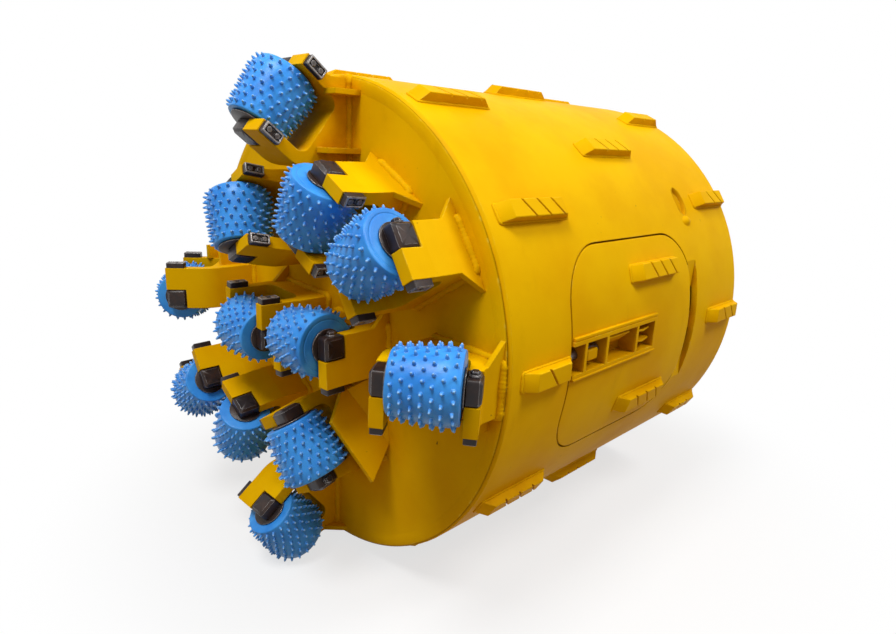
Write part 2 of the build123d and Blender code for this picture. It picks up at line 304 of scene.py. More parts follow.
# %% [markdown]
# ## Blue paint
# The rollers are castings under one coat of blue, so the coat follows a slightly rough surface. Between the
# studs it is darkened as painted shade, and on the edges and the studs' tips it is made pale, partly as
# dust and partly as a painted highlight. A gradient could mark the tips, but only a value stored at the
# mesh's points knows a stud's tip from the body beside it.

# %% Blue paint
BLUE = linear(66, 162, 248)
BLUE_DEEP = linear(44, 138, 230)
# Pale for dust, and for a painted highlight on edges and tips
BLUE_DUST_AND_HIGHLIGHT = linear(176, 218, 252)
# Painted shade between the studs
BLUE_SHADE = linear(18, 66, 142)
CASTING_EDGE = 0.002
CASTING_RELIEF = 0.0008
SHADE_REACH = 0.02
SOFT_GLOSS = 0.3


def blue_paint():
    """Cast paint: two tones, painted shade between studs, dust and painted highlights on edges and tips,
    grain.
    """
    material, shader, place = new_finish("blue_paint")
    shader.inputs["Specular IOR Level"].default_value = SOFT_GLOSS
    # Painted shade: darker between the studs, where less light reaches
    corner = 1 - openness(place, SHADE_REACH).between(0.2, 0.9)
    edge_wear_and_highlight = edge_mask(place, CASTING_EDGE) * place.noise(90.0, 4.0).between(0.35, 0.7)
    # Pale on edges and tips: partly dust, partly a painted highlight
    dust_and_highlight = edge_wear_and_highlight.math("MAXIMUM", 0.7 * edge_wear_and_highlight, 0.6 * tip_mask(place))
    colour = place.noise(16.0, 5.0).between(0.35, 0.7).mix(BLUE, BLUE_DEEP)
    colour = (corner * 0.5).mix(colour, BLUE_SHADE)
    dust_and_highlight.mix(colour, BLUE_DUST_AND_HIGHLIGHT).feed(shader, "Base Color")
    (0.26 + 0.16 * place.noise(60.0, 4.0)).feed(shader, "Roughness")
    grain = place.noise(420.0, 3.0) + place.noise(90.0, 3.0)
    bumped(place, grain, CASTING_RELIEF, 0.4, rounded_normal(place, CASTING_EDGE)).feed(shader, "Normal")
    return material


finishes["blue_paint"] = blue_paint()
print("blue paint ready")

# %% [markdown]
# ## Dark forgings
# The shaft ends and the clamps are oiled forgings, dark and a little glossy, with brown patches, and
# bright on edges and rims where they are scuffed. Bare metal could be a second material on chosen faces.
# One material whose Metallic value follows the scuff mask needs no such choice and has soft borders.

# %% Dark forging
FORGED = linear(38, 30, 30)
FORGED_BROWN = linear(58, 40, 32)
SCUFFED = linear(176, 172, 170)
SCUFF_RADIUS = 0.003
FORGED_EDGE = 0.0022
FORGED_RELIEF = 0.0008


def dark_forging():
    """Oiled dark steel with brown patches and bright scuffed edges and tips."""
    material, shader, place = new_finish("dark_forging")
    shader.inputs["Specular IOR Level"].default_value = SOFT_GLOSS
    worn = place.noise(70.0, 5.0, 0.7)
    on_edges = edge_mask(place, SCUFF_RADIUS) * worn.between(0.3, 0.52)
    on_tips = 0.75 * tip_mask(place) * worn.between(0.28, 0.5)
    scuff = worn.math("MAXIMUM", on_edges, on_tips)
    colour = place.noise(30.0, 5.0).between(0.4, 0.7).mix(FORGED, FORGED_BROWN)
    scuff.mix(colour, SCUFFED).feed(shader, "Base Color")
    (0.7 * scuff).feed(shader, "Metallic")
    (0.24 + 0.22 * place.noise(45.0, 4.0)).feed(shader, "Roughness")
    grain = place.noise(180.0, 4.0)
    bumped(place, grain, FORGED_RELIEF, 0.4, rounded_normal(place, FORGED_EDGE)).feed(shader, "Normal")
    return material


finishes["dark_forging"] = dark_forging()
print("dark forging ready")

# %% [markdown]
# ## Bare steel, and a finish for every solid
# The hinge pin and the latch bolt are drawn bars, left bare, with fine lines and a little rust. A noise
# that is stretched along the drum gives the lines without a picture of brushed metal. Each solid of the
# model names its finish in the record, so one loop dresses them all.

# %% Bare steel and the solids' finishes
BARE = linear(150, 150, 152)
BARE_DARK = linear(112, 112, 116)
RUST = linear(120, 72, 40)
BAR_EDGE = 0.002
DRAWN_RELIEF = 0.0005


def bare_steel():
    """Drawn bar with fine lines along the drum and a little rust."""
    material, shader, place = new_finish("bare_steel")
    lines = place.stretched(0.08, 1.0, 1.0).noise(420.0, 3.0)
    rust = place.noise(38.0, 6.0, 0.65).between(0.55, 0.72)
    rust.mix(lines.mix(BARE, BARE_DARK), RUST).feed(shader, "Base Color")
    (1 - 0.8 * rust).feed(shader, "Metallic")
    (0.3 + 0.2 * lines + 0.3 * rust).feed(shader, "Roughness")
    bumped(place, lines, DRAWN_RELIEF, 0.3, rounded_normal(place, BAR_EDGE)).feed(shader, "Normal")
    return material


finishes["bare_steel"] = bare_steel()
for row in frame["record"]["subparts"]:
    mesh = nodes[row["node"]].data
    mesh.materials.clear()
    mesh.materials.append(finishes[row["material_slot"]])
print("finishes on", len(nodes), "nodes")

# %% [markdown]
# ## Surfaces from numpy
# Each new piece is a grid: rings of points, one ring after another along a path. It could be modelled by
# extruding faces one by one, but a grid's faces follow from its size alone, so points and faces are whole
# arrays. A shape is kept as its points, its four-cornered faces and its three-cornered faces.

# %% Grids and swept shapes


def grid_faces(stations, around, closed):
    """Faces between neighbouring rings of a grid, which wraps round and, if closed, also end to start."""
    rows = np.arange(stations if closed else stations - 1)
    row, column = np.meshgrid(rows, np.arange(around), indexing="ij")
    after = (column + 1) % around
    beyond = (row + 1) % stations
    near = (row * around + column, row * around + after)
    far = (beyond * around + after, beyond * around + column)
    return np.stack(near + far, axis=-1).reshape(-1, 4)


def swept(rings, closed=False):
    """A shape from rings of points (stations, around, 3). Open ends get fans to their middles."""
    stations, around = rings.shape[:2]
    points = rings.reshape(-1, 3)
    quads = grid_faces(stations, around, closed)
    triangles = np.zeros((0, 3), int)
    if not closed:
        column = np.arange(around)
        after = (column + 1) % around
        first = stations * around
        last = (stations - 1) * around
        start = np.stack([np.full(around, first), after, column], axis=-1)
        end = np.stack([np.full(around, first + 1), last + column, last + after], axis=-1)
        triangles = np.concatenate([start, end])
        points = np.concatenate([points, rings[[0, -1]].mean(axis=1)])
    return points, quads, triangles


print("grid helpers ready")

# %% [markdown]
# ## Copies and pieces
# A bit is full of repeats: twelve saddles, hundreds of studs. Linked copies would be hundreds of objects.
# One shape times an array of places is a single mesh, which is quick to make and to export. Every piece
# sits at the origin, with its place in its points, and rides on a body of the model.

# %% Copies, joined shapes and pieces
SHARP_ANGLE = 38


def copies(shape, turns, places):
    """One shape at many places: each copy's points are its turn times the points, plus its place."""
    points, quads, triangles = shape
    placed = np.einsum("mij,nj->mni", turns, points) + places[:, None]
    shift = (np.arange(len(places)) * len(points))[:, None, None]
    return placed.reshape(-1, 3), (quads + shift).reshape(-1, 4), (triangles + shift).reshape(-1, 3)


def joined(*shapes):
    """Several shapes as one."""
    starts = np.cumsum([0] + [len(shape[0]) for shape in shapes])
    points = np.concatenate([shape[0] for shape in shapes])
    quads = np.concatenate([shape[1] + start for shape, start in zip(shapes, starts)])
    triangles = np.concatenate([shape[2] + start for shape, start in zip(shapes, starts)])
    return points, quads, triangles


def add_piece(name, shape, body, slot, replaced=(), finish=None, sharp=SHARP_ANGLE, tips=None):
    """A mesh object at the origin that rides on a body and takes a finish, and may store its tips."""
    points, quads, triangles = shape
    mesh = bpy.data.meshes.new(name)
    mesh.from_pydata(points.tolist(), [], quads.tolist() + triangles.tolist())
    mesh.shade_smooth()
    mesh.set_sharp_from_angle(angle=radians(sharp))
    if tips is not None:
        mesh.attributes.new("tip", "FLOAT", "POINT").data.foreach_set("value", tips)
    mesh.materials.append(finish or finishes[slot])
    piece = bpy.data.objects.new(name, mesh)
    bpy.context.scene.collection.objects.link(piece)
    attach(piece, body)
    if replaced:
        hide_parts(*replaced)
    print(name, len(points), "points", 2 * len(quads) + len(triangles), "triangles")


print("piece helpers ready")

# %% [markdown]
# ## Outlines and rounded corners
# Most outlines here are a few corners with rounded turns. A Bevel modifier could round them after the
# fact. As a formula, each corner becomes a short quadratic curve from a point before it to a point after
# it, and the same few lines round a clamp, a weld's path and a turned profile.

# %% Outline helpers
TURN_STEPS = 4


def rounded(corners, radius, closed=True):
    """Corners with their turns rounded: each turn is (1-u)^2 before + 2u(1-u) corner + u^2 after."""
    corners = np.asarray(corners, float)
    radius = np.broadcast_to(radius, len(corners))[:, None]
    before = np.roll(corners, 1, axis=0) - corners
    after = np.roll(corners, -1, axis=0) - corners
    before /= np.linalg.norm(before, axis=1, keepdims=True)
    after /= np.linalg.norm(after, axis=1, keepdims=True)
    if not closed:
        before[0] = 0
        after[-1] = 0
    start = corners + radius * before
    end = corners + radius * after
    u = np.linspace(0, 1, TURN_STEPS)[None, :, None]
    curve = (1 - u) ** 2 * start[:, None] + 2 * u * (1 - u) * corners[:, None] + u ** 2 * end[:, None]
    return curve.reshape(-1, corners.shape[1])


def even(path, spacing):
    """A closed path with its points at even steps along it."""
    ends = np.concatenate([path, path[:1]])
    length = np.concatenate([[0], np.cumsum(np.linalg.norm(np.diff(ends, axis=0), axis=1))])
    count = int(round(length[-1] / spacing))
    at = np.linspace(0, length[-1], count, endpoint=False)
    return np.stack([np.interp(at, length, ends[:, axis]) for axis in range(ends.shape[1])], axis=1)


def rectangle(width, height):
    """Four corners about the origin."""
    x, y = width / 2, height / 2
    return [(-x, -y), (x, -y), (x, y), (-x, y)]


def upright(outline, profile):
    """Rings of an outline in y and z, at each station x of the profile, drawn in by the station's inset.

    Drawing in moves each point towards the middle by the inset along each axis.
    """
    stations = np.asarray(profile, float)
    reach = np.abs(outline).max(axis=0)
    factor = 1 - stations[:, None, 1:] / reach
    flat = outline[None] * factor
    height = np.broadcast_to(stations[:, None, :1], flat.shape[:2] + (1,))
    return np.concatenate([height, flat], axis=-1)


def turned_rings(profile, around):
    """Rings about x: each profile point (x, r) becomes a circle of radius r at x."""
    stations = np.asarray(profile, float)
    angle = np.linspace(0, 2 * pi, around, endpoint=False)
    x = np.broadcast_to(stations[:, :1], (len(stations), around))
    return np.stack([x, stations[:, 1:] * np.cos(angle), stations[:, 1:] * np.sin(angle)], axis=-1)


print("outline helpers ready")

# %% [markdown]
# ## Where the rollers sit
# Each roller lies in a saddle that is tilted so that its studs sweep their own ring of the hole. The
# places could be typed in again, but each roller turns about a joint, so the record's joints give twelve
# centres and axes. A saddle's first direction is the roller's axis, which points outward. The second runs
# along the drum's turning direction, and the third points away from the cradle.

# %% Roller places
spins = [joint for joint in joints if joint["child"].startswith("roller_")]
centres = np.array([joint["pos_m"] for joint in spins])
axes = np.array([joint["axis"] for joint in spins])
rise = np.linalg.norm(axes[:, 1:], axis=1, keepdims=True)
outward = np.concatenate([np.zeros_like(rise), axes[:, 1:] / rise], axis=1)
facing = outward * axes[:, :1]
facing[:, 0] = -rise[:, 0]
sideways = np.cross(facing, axes)
saddle_turns = np.stack([axes, sideways, facing], axis=2)


def in_saddle(shape, index):
    """A shape given in a saddle's own directions, moved to one of the saddles."""
    return copies(shape, saddle_turns[[index]], centres[[index]])


def in_saddles(shape):
    """A shape given in a saddle's own directions, in all twelve saddles."""
    return copies(shape, saddle_turns, centres)


print("rollers", len(spins))

# %% [markdown]
# ## Roller bodies
# A roller is a casting: a short cone that draws in again at its wide end, with a shallow groove in that
# end. It could be a cylinder with loop cuts. A profile turned about the axis shows every diameter in one
# list, and its corners are rounded by one list of radii.

# %% Turned roller body
# Each point: place along the axis, radius
BODY_PROFILE = [(-0.080, 0.0245), (-0.080, 0.0745), (0.052, 0.0885), (0.080, 0.0825),
                (0.080, 0.071), (0.0792, 0.070), (0.0792, 0.067), (0.080, 0.066), (0.080, 0.0245)]
BODY_ROUNDING = [0.0001, 0.004, 0.012, 0.003, 0.0004, 0.0004, 0.0004, 0.0004, 0.0001]
BODY_AROUND = 72
CONE = np.array(BODY_PROFILE[1:4])
body_line = rounded(BODY_PROFILE, BODY_ROUNDING, closed=False)
roller_body = swept(turned_rings(body_line, BODY_AROUND), closed=True)
print("roller body", len(roller_body[0]), "points")

# %% [markdown]
# ## Studs
# Rows of blunt studs stand on each roller and crush the rock, each row about half a step round from the
# last. They could be scattered over the surface, but real studs keep their rows, so one small turned peg
# is copied to worked-out places with its axis along the body's normal. Studs are set by hand, so each is
# shifted a little.

# %% Studs in rows, and the twelve rollers
STUD_ROWS = 7
STUDS_IN_ROW = 21
FIRST_ROW = -0.066
LAST_ROW = 0.066
STUD_PROFILE = [(-0.002, 0.0054), (0.0010, 0.0046), (0.0075, 0.0033), (0.0103, 0.0022), (0.0115, 0.0008)]
STUD_AROUND = 8
STUD_TIPS = [0, 0, 0.3, 1, 1]
STUD_END_TIPS = [0, 1]
ROLLER_SKEW = 0.35
ROW_DRIFT = 0.14
STUD_DRIFT = 0.05
STUD_SHIFT = 0.0011
SLOPE_REACH = 0.001
random = np.random.default_rng(8)


def stud_places(phase):
    """Turns and places of the studs: rows along the cone, each about half a step round from the row before.

    A stud's angle is its number plus its row's half step and drift, times the step, and its radius is the
    cone's there. Its normal leans by the cone's slope.
    """
    row = np.arange(STUD_ROWS)[:, None]
    count = (STUD_ROWS, STUDS_IN_ROW)
    row_turn = 0.5 * (row % 2) + random.uniform(-ROW_DRIFT, ROW_DRIFT, (STUD_ROWS, 1))
    number = np.arange(STUDS_IN_ROW)[None] + row_turn + random.uniform(-STUD_DRIFT, STUD_DRIFT, count)
    angle = number * (2 * pi / STUDS_IN_ROW) + phase
    row_place = FIRST_ROW + (LAST_ROW - FIRST_ROW) * row / (STUD_ROWS - 1)
    along = row_place + random.uniform(-STUD_SHIFT, STUD_SHIFT, count)
    radius = np.interp(along, *CONE.T)
    gain = np.interp(along + SLOPE_REACH, *CONE.T) - np.interp(along - SLOPE_REACH, *CONE.T)
    normal = np.stack([-gain / (2 * SLOPE_REACH), np.cos(angle), np.sin(angle)], axis=-1)
    normal /= np.linalg.norm(normal, axis=-1, keepdims=True)
    round_way = np.stack([np.zeros(count), -np.sin(angle), np.cos(angle)], axis=-1)
    turns = np.stack([normal, round_way, np.cross(normal, round_way)], axis=-1)
    places = np.stack([along, radius * np.cos(angle), radius * np.sin(angle)], axis=-1)
    return turns.reshape(-1, 3, 3), places.reshape(-1, 3)


def tips_of(ring_tips, around, end_tips):
    """Tip values of a shape with closed ends: one value for each ring and one for each end's middle."""
    return np.concatenate([np.repeat(ring_tips, around), end_tips])


one_stud = swept(turned_rings(STUD_PROFILE, STUD_AROUND))
stud_tips = np.tile(tips_of(STUD_TIPS, STUD_AROUND, STUD_END_TIPS), STUD_ROWS * STUDS_IN_ROW)
roller_tips = np.concatenate([np.zeros(len(roller_body[0])), stud_tips])
for index, joint in enumerate(spins):
    roller = joint["child"]
    shape = in_saddle(joined(roller_body, copies(one_stud, *stud_places(ROLLER_SKEW * index))), index)
    add_piece("studded_" + roller, shape, roller, "blue_paint", [roller], tips=roller_tips)

# %% [markdown]
# ## Shafts and end blocks
# Each roller turns on a fixed shaft, whose square end blocks sit in the arms' notches. A cube with a Bevel
# modifier would come near. A rounded square carried along the shaft, and drawn in at its ends for the
# chamfers, has the corners and the chamfers at their own sizes. One end is made, and a half turn gives the
# other.

# %% Shaft bars and end blocks
ARM_INSIDE = 0.086
BLOCK_END = 0.122
BLOCK_SIDE = 0.062
BLOCK_CORNER = 0.008
BLOCK_CHAMFER = 0.007
BLOCK_BREAK = 0.002
SHAFT_RADIUS = 0.024
SHAFT_AROUND = 40
INNER_END, OUTER_END = np.diag([-1.0, -1.0, 1.0]), np.eye(3)
BOTH_ENDS = np.stack([INNER_END, OUTER_END])


def carried(size, corner, profile):
    """A rectangle with rounded corners carried along x through the profile's stations and insets."""
    return swept(upright(rounded(rectangle(*size), corner), profile))


block_profile = [(ARM_INSIDE, BLOCK_BREAK), (ARM_INSIDE + BLOCK_BREAK, 0),
                 (BLOCK_END - BLOCK_CHAMFER, 0), (BLOCK_END, BLOCK_CHAMFER)]
end_block = carried((BLOCK_SIDE, BLOCK_SIDE), BLOCK_CORNER, block_profile)
end_blocks = copies(end_block, BOTH_ENDS, np.zeros((2, 3)))
bar = swept(turned_rings([(-ARM_INSIDE, SHAFT_RADIUS), (ARM_INSIDE, SHAFT_RADIUS)], SHAFT_AROUND))
add_piece("shaft_blocks", in_saddles(joined(bar, end_blocks)), "drum", "dark_forging", ["shafts"])

# %% [markdown]
# ## Seal discs
# A dark seal fills the gap between each roller and its arm, to keep the mud out of the bearing. At the
# inner end the discs differ from saddle to saddle, so a list gives their radii. A flat washer would do
# from afar; a turned ring with broken rims catches the light as the real one does.

# %% Seal discs
SEAL_BORE = SHAFT_RADIUS - 0.0005
# Each point of the rim: place along the shaft, how far it is drawn in
SEAL_RIM = [(0.0805, 0.0015), (0.082, 0), (0.0848, 0), (0.0858, 0.002)]
SEAL_AROUND = 48
OUTER_SEAL = 0.046
INNER_SEALS = [0.063, 0.063, 0.063, 0.063, 0.047, 0.047, 0.047, 0.055, 0.047, 0.047, 0.055, 0.050]


def seal_disc(radius, end):
    """A flat ring with broken rims at one end of the roller."""
    rim = [(station, radius - inset) for station, inset in SEAL_RIM]
    line = [(rim[0][0], SEAL_BORE), *rim, (rim[-1][0], SEAL_BORE)]
    return copies(swept(turned_rings(line, SEAL_AROUND), closed=True), end[None], np.zeros((1, 3)))


seals = [in_saddle(joined(seal_disc(radius, INNER_END), seal_disc(OUTER_SEAL, OUTER_END)), index)
         for index, radius in enumerate(INNER_SEALS)]
add_piece("seal_discs", joined(*seals), "drum", "dark_forging")

# %% [markdown]
# ## Clamps
# A clamp block holds each shaft end from below, with two bolts in a sunk face. The recess could be cut by
# a Boolean modifier, which leaves untidy faces. Instead the outline is carried outward, turned in over the
# rim and down into the recess. A bolt head is a six-sided outline with a chamfered top.

# %% Clamp blocks with recesses and bolts
ARM_LOW = -0.103
CLAMP_MIDDLE = 0.103
CLAMP_SIZE = (0.030, 0.056)
CLAMP_CORNER = 0.003
CLAMP_DEPTH = 0.018
CLAMP_SINK = 0.011
# Each point of a profile: height, how far the outline is drawn in
CLAMP_PROFILE = [(0, 0), (CLAMP_DEPTH - 0.002, 0), (CLAMP_DEPTH, 0.002), (CLAMP_DEPTH, 0.005),
                 (CLAMP_SINK, 0.006)]
CLAMP_TIPS = [0, 0, 1, 1, 0]
CLAMP_END_TIPS = [0, 0]
BOLT_SIDES = 6
BOLT_RADIUS = 0.0085
BOLT_PROFILE = [(0, 0), (0.005, 0), (0.0065, 0.0015)]
BOLT_TIPS = [0, 0, 0.5]
BOLT_END_TIPS = [0, 0.2]
BOLT_SPREAD = 0.013
SIDES = (-1.0, 1.0)
TO_LOW_SIDE = np.array([[0.0, 1, 0], [-1, 0, 0], [0, 0, 1]])


def bolt_outline(radius):
    """A bolt head's corners, at even angles on a circle."""
    angle = np.linspace(0, 2 * pi, BOLT_SIDES, endpoint=False)
    return radius * np.stack([np.cos(angle), np.sin(angle)], axis=1)


def standing(shape, turn, points):
    """A shape that stands along x, turned to another side and copied to some points."""
    points = np.array(points, float)
    return copies(shape, np.broadcast_to(turn, (len(points), 3, 3)), points)


clamp_outline = rounded(rectangle(*CLAMP_SIZE), CLAMP_CORNER)
clamp = swept(upright(clamp_outline, CLAMP_PROFILE))
bolt = swept(upright(bolt_outline(BOLT_RADIUS), BOLT_PROFILE))
clamp_points = [(side * CLAMP_MIDDLE, ARM_LOW, 0) for side in SIDES]
bolt_points = [(x, y - CLAMP_SINK, side * BOLT_SPREAD) for x, y, z in clamp_points for side in SIDES]
clamp_tips = np.tile(tips_of(CLAMP_TIPS, len(clamp_outline), CLAMP_END_TIPS), len(clamp_points))
bolt_tips = np.tile(tips_of(BOLT_TIPS, BOLT_SIDES, BOLT_END_TIPS), len(bolt_points))
saddle_tips = np.concatenate([clamp_tips, bolt_tips])
clamps = joined(standing(clamp, TO_LOW_SIDE, clamp_points), standing(bolt, TO_LOW_SIDE, bolt_points))
add_piece("clamps", in_saddles(clamps), "drum", "dark_forging", ["clamp_blocks"],
          tips=np.tile(saddle_tips, len(spins)))

# %% [markdown]
# ## Bolts on the end blocks
# The outer end block of each shaft is pinned by one larger bolt, on the side away from its clamp, with a
# round washer. Both are made as above, one from a six-sided outline and one turned, because a bolt seen
# this close needs its chamfer.

# %% Block bolts
CAP_RADIUS = 0.0115
CAP_PROFILE = [(0.002, 0), (0.0105, 0), (0.0125, 0.002)]
WASHER_PROFILE = [(-0.001, 0.0150), (0.0024, 0.0150), (0.0032, 0.0140)]
WASHER_AROUND = 24
TO_HIGH_SIDE = np.array([[0.0, -1, 0], [1, 0, 0], [0, 0, 1]])
cap_head = swept(upright(bolt_outline(CAP_RADIUS), CAP_PROFILE))
washer = swept(turned_rings(WASHER_PROFILE, WASHER_AROUND))
block_bolts = standing(joined(cap_head, washer), TO_HIGH_SIDE, [(CLAMP_MIDDLE, BLOCK_SIDE / 2, 0)])
add_piece("block_bolts", in_saddles(block_bolts), "drum", "dark_forging")

# %% [markdown]
# ## Weld beads
# Saddles, bars and ribs are welded on. A bead could be a curve with a round bevel, but a real one ripples.
# Here it is a thin tube along the seam, half sunk in the corner, whose radius rises and falls with each
# ripple and more slowly with the welder's hand. A path goes in, and the whole tube comes out as one grid.

# %% Beads along paths
BEAD_STEP = 0.0045
BEAD_AROUND = 7
WELD_SHARP = 60
# Each wave along a bead: length, share of the radius
RIPPLES = [(0.011, 0.12), (0.073, 0.10)]


def bead(path, normal, radius):
    """A rippled tube on a closed path: its radius is times 1 + sum of share sin(2 pi s / length)."""
    normals = np.broadcast_to(normal, path.shape)
    tangent = np.roll(path, -1, axis=0) - np.roll(path, 1, axis=0)
    tangent /= np.linalg.norm(tangent, axis=1, keepdims=True)
    across = np.cross(tangent, normals)
    along = np.arange(len(path)) * BEAD_STEP
    swell = radius * (1 + sum(share * np.sin(2 * pi * along / length) for length, share in RIPPLES))
    angle = np.linspace(0, 2 * pi, BEAD_AROUND, endpoint=False)[None, :, None]
    circle = np.cos(angle) * normals[:, None] + np.sin(angle) * across[:, None]
    return swept(path[:, None] + swell[:, None, None] * circle, closed=True)


print("bead helper ready")

# %% [markdown]
# ## Welds round the saddles' feet
# Each saddle stands on the face plate and is welded all round. Its foot is a rectangle between the bends
# of its two arms, so the path follows from the saddle's centre and directions, and no seam has to be
# traced by hand.

# %% Beads round the saddles' feet
ARM_OUTSIDE = 0.120
INNER_KNEE = 0.110
OUTER_KNEE = 0.045
FOOT_CORNER = 0.008
FOOT_BEAD = 0.012
plate_x = float(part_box("face_plate")[0][0])


def saddle_foot(index):
    """The rectangle where one saddle stands on the face plate, below the bends of its two arms."""
    inner = centres[index] - ARM_OUTSIDE * axes[index] - INNER_KNEE * facing[index]
    outer = centres[index] + ARM_OUTSIDE * axes[index] - OUTER_KNEE * facing[index]
    inner[0] = plate_x
    outer[0] = plate_x
    low = ARM_LOW * sideways[index]
    high = BLOCK_SIDE / 2 * sideways[index]
    return even(rounded([inner + low, outer + low, outer + high, inner + high], FOOT_CORNER), BEAD_STEP)


foot_beads = [bead(saddle_foot(index), (-1.0, 0, 0), FOOT_BEAD) for index in range(len(spins))]
add_piece("saddle_welds", joined(*foot_beads), "drum", "yellow_paint", sharp=WELD_SHARP)

# %% [markdown]
# ## A shield plate beside one saddle
# The saddle low on the door's side has a shield of flat plate beside its roller, with a foot that spreads
# to the face plate. A Solidify modifier could thicken the flats. Here each is an outline in the saddle's
# own three directions and its copy moved back along the normal by the thickness, so the front stays where
# it is given.

# %% Shield plate
SHIELDED = "roller_11"
SHIELD_THICKNESS = 0.014
# Each corner: along the roller's axis, sideways, facing
SHIELD = [(-0.091, 0.111, -0.110), (-0.035, 0.111, -0.044), (0.165, 0.111, -0.075), (0.104, 0.111, -0.177),
          (-0.091, 0.111, -0.133)]
SHIELD_FOOT = [SHIELD[4], SHIELD[3], (-0.091, 0.186, -0.219)]


def flat_plate(corners, thickness):
    """A plate from its front corners: the back is the front minus thickness times the normal."""
    front = np.array(corners)
    normal = np.cross(front[1] - front[0], front[2] - front[1])
    normal /= np.linalg.norm(normal)
    return swept(np.stack([front - thickness * normal, front]))


shielded = [joint["child"] for joint in spins].index(SHIELDED)
shield = joined(flat_plate(SHIELD, SHIELD_THICKNESS), flat_plate(SHIELD_FOOT, SHIELD_THICKNESS))
add_piece("saddle_shield", in_saddle(shield, shielded), "drum", "yellow_paint")

# %% [markdown]
# ## Places on the barrel
# Bars, welds and the hollow all lie on the round barrel. They could be drawn flat and bent by a modifier.
# A formula that takes a flat place, along the drum and round it, to its point and its outward direction
# puts each of them straight where it belongs. The bit lies turned a little, and the door's hinge tells by
# how much.

# %% Barrel helpers
shell_low, shell_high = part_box("drum_shell")
drum_radius = float(shell_high[2] - shell_low[2]) / 2
hinge = next(joint for joint in joints if joint["child"] == "door")
rest_turn = atan2(-hinge["axis"][1], hinge["axis"][2])


def on_barrel(points, angle):
    """Points and outward directions on the barrel, for places (x from the front rim, distance round).

    The angle is counted from the door's middle, and the distance round adds distance over radius to it.
    """
    round_angle = angle - rest_turn + points[:, 1] / drum_radius
    outward = np.stack([np.zeros(len(points)), -np.cos(round_angle), np.sin(round_angle)], axis=1)
    place = drum_radius * outward
    place[:, 0] = plate_x + points[:, 0]
    return place, outward


def rest_turned(shape):
    """A shape drawn from the front rim, moved there and turned about the drum axis as the bit lies."""
    turn = np.array([[1, 0, 0], [0, cos(rest_turn), -sin(rest_turn)], [0, sin(rest_turn), cos(rest_turn)]])
    return copies(shape, turn[None], np.array([[plate_x, 0, 0]]))


print("drum radius", round(drum_radius, 4), "rest turn", round(rest_turn, 4))

# %% [markdown]
# ## Wear bars
# Bars of hard steel on the barrel rub along the hole's wall. They have sloping ends and slanting grooves
# across their tops, which could be cut by Booleans. Instead a bar is a ring of points round its section,
# carried along the drum. Where a groove crosses, the ring is slanted with it and its top points drop, so a
# groove costs four rings and its edges stay straight.

# %% Grooved bars
PAD_COUNT = 11
PAD_WIDTH = 0.048
PAD_HEIGHT = 0.028
PAD_SLOPE = 0.030
PAD_END_HEIGHT = 0.0005
# Each row: start, end, turn in shares of the pitch
PAD_ROWS = [(0.050, 0.315, 0.0), (0.550, 0.820, 0.5), (1.060, 1.280, 0.0)]
FRONT_ROW, MIDDLE_ROW = 0, 1
SHORT_PAD_END = 0.240
GROOVE_START = 0.092
GROOVE_PITCH = 0.057
GROOVE_MARGIN = 0.02
GROOVE_DEPTH = 0.006
GROOVE_SLANT = -0.73
GROOVE_WIDTH = 0.008
GROOVE_STEPS = GROOVE_WIDTH * np.array([-0.5, -0.2, 0.2, 0.5])
GROOVE_DROPS = [0, GROOVE_DEPTH, GROOVE_DEPTH, 0]
BAR_SECTION = np.array([(-0.5, 0), (0.5, 0), (0.5, 0.93), (0.46, 1), (0, 1), (-0.46, 1), (-0.5, 0.93)])


def wear_bar(length):
    """A bar with sloping ends: x is station plus slant times the place across, and tops drop in grooves."""
    middles = np.arange(GROOVE_START, length - PAD_SLOPE - GROOVE_MARGIN, GROOVE_PITCH)
    grooves = (middles[:, None] + GROOVE_STEPS).ravel()
    stations = np.concatenate([[0, PAD_SLOPE], grooves, [length - PAD_SLOPE, length]])
    slants = np.concatenate([[0, 0], np.full(len(grooves), GROOVE_SLANT), [0, 0]])
    drops = np.concatenate([[0, 0], np.tile(GROOVE_DROPS, len(middles)), [0, 0]])
    tops = PAD_HEIGHT - drops
    tops[[0, -1]] = PAD_END_HEIGHT
    across = np.broadcast_to(PAD_WIDTH * BAR_SECTION[:, 0], (len(stations), len(BAR_SECTION)))
    along = stations[:, None] + slants[:, None] * across
    height = tops[:, None] * BAR_SECTION[:, 1]
    return swept(np.stack([along, across, height], axis=-1))


def bar_on_barrel(start, end, angle):
    """One bar at its place: its three directions are along the drum, round the barrel and outward."""
    place, outward = on_barrel(np.array([[start, 0.0]]), angle)
    along = np.array([[1.0, 0, 0]])
    turn = np.stack([along, np.cross(outward, along), outward], axis=2)
    return copies(wear_bar(end - start), turn, place)


drum_pads = []
door_pads = []
for row, (start, end, shift) in enumerate(PAD_ROWS):
    for index in range(PAD_COUNT):
        last = SHORT_PAD_END if row == FRONT_ROW and index == 0 else end
        on_door = row == MIDDLE_ROW and index in (0, PAD_COUNT - 1)
        (door_pads if on_door else drum_pads).append((start, last, (index + shift) * 2 * pi / PAD_COUNT))
drum_bars = joined(*[bar_on_barrel(*pad) for pad in drum_pads])
door_bars = joined(*[bar_on_barrel(*pad) for pad in door_pads])
add_piece("wear_bars", drum_bars, "drum", "yellow_paint", ["pads_front", "pads_middle", "pads_rear"])
add_piece("door_wear_bars", door_bars, "door", "yellow_paint", ["door_pads"])

# %% [markdown]
# ## Welds round the bars
# Each bar is welded round its foot. The foot's outline is drawn flat and taken to the barrel by the
# formula above, and the bead follows it. The two bars on the door have a mesh of their own, because the
# door opens.

# %% Beads round the bars
PAD_BEAD = 0.0045
PAD_FOOT_CORNER = 0.005


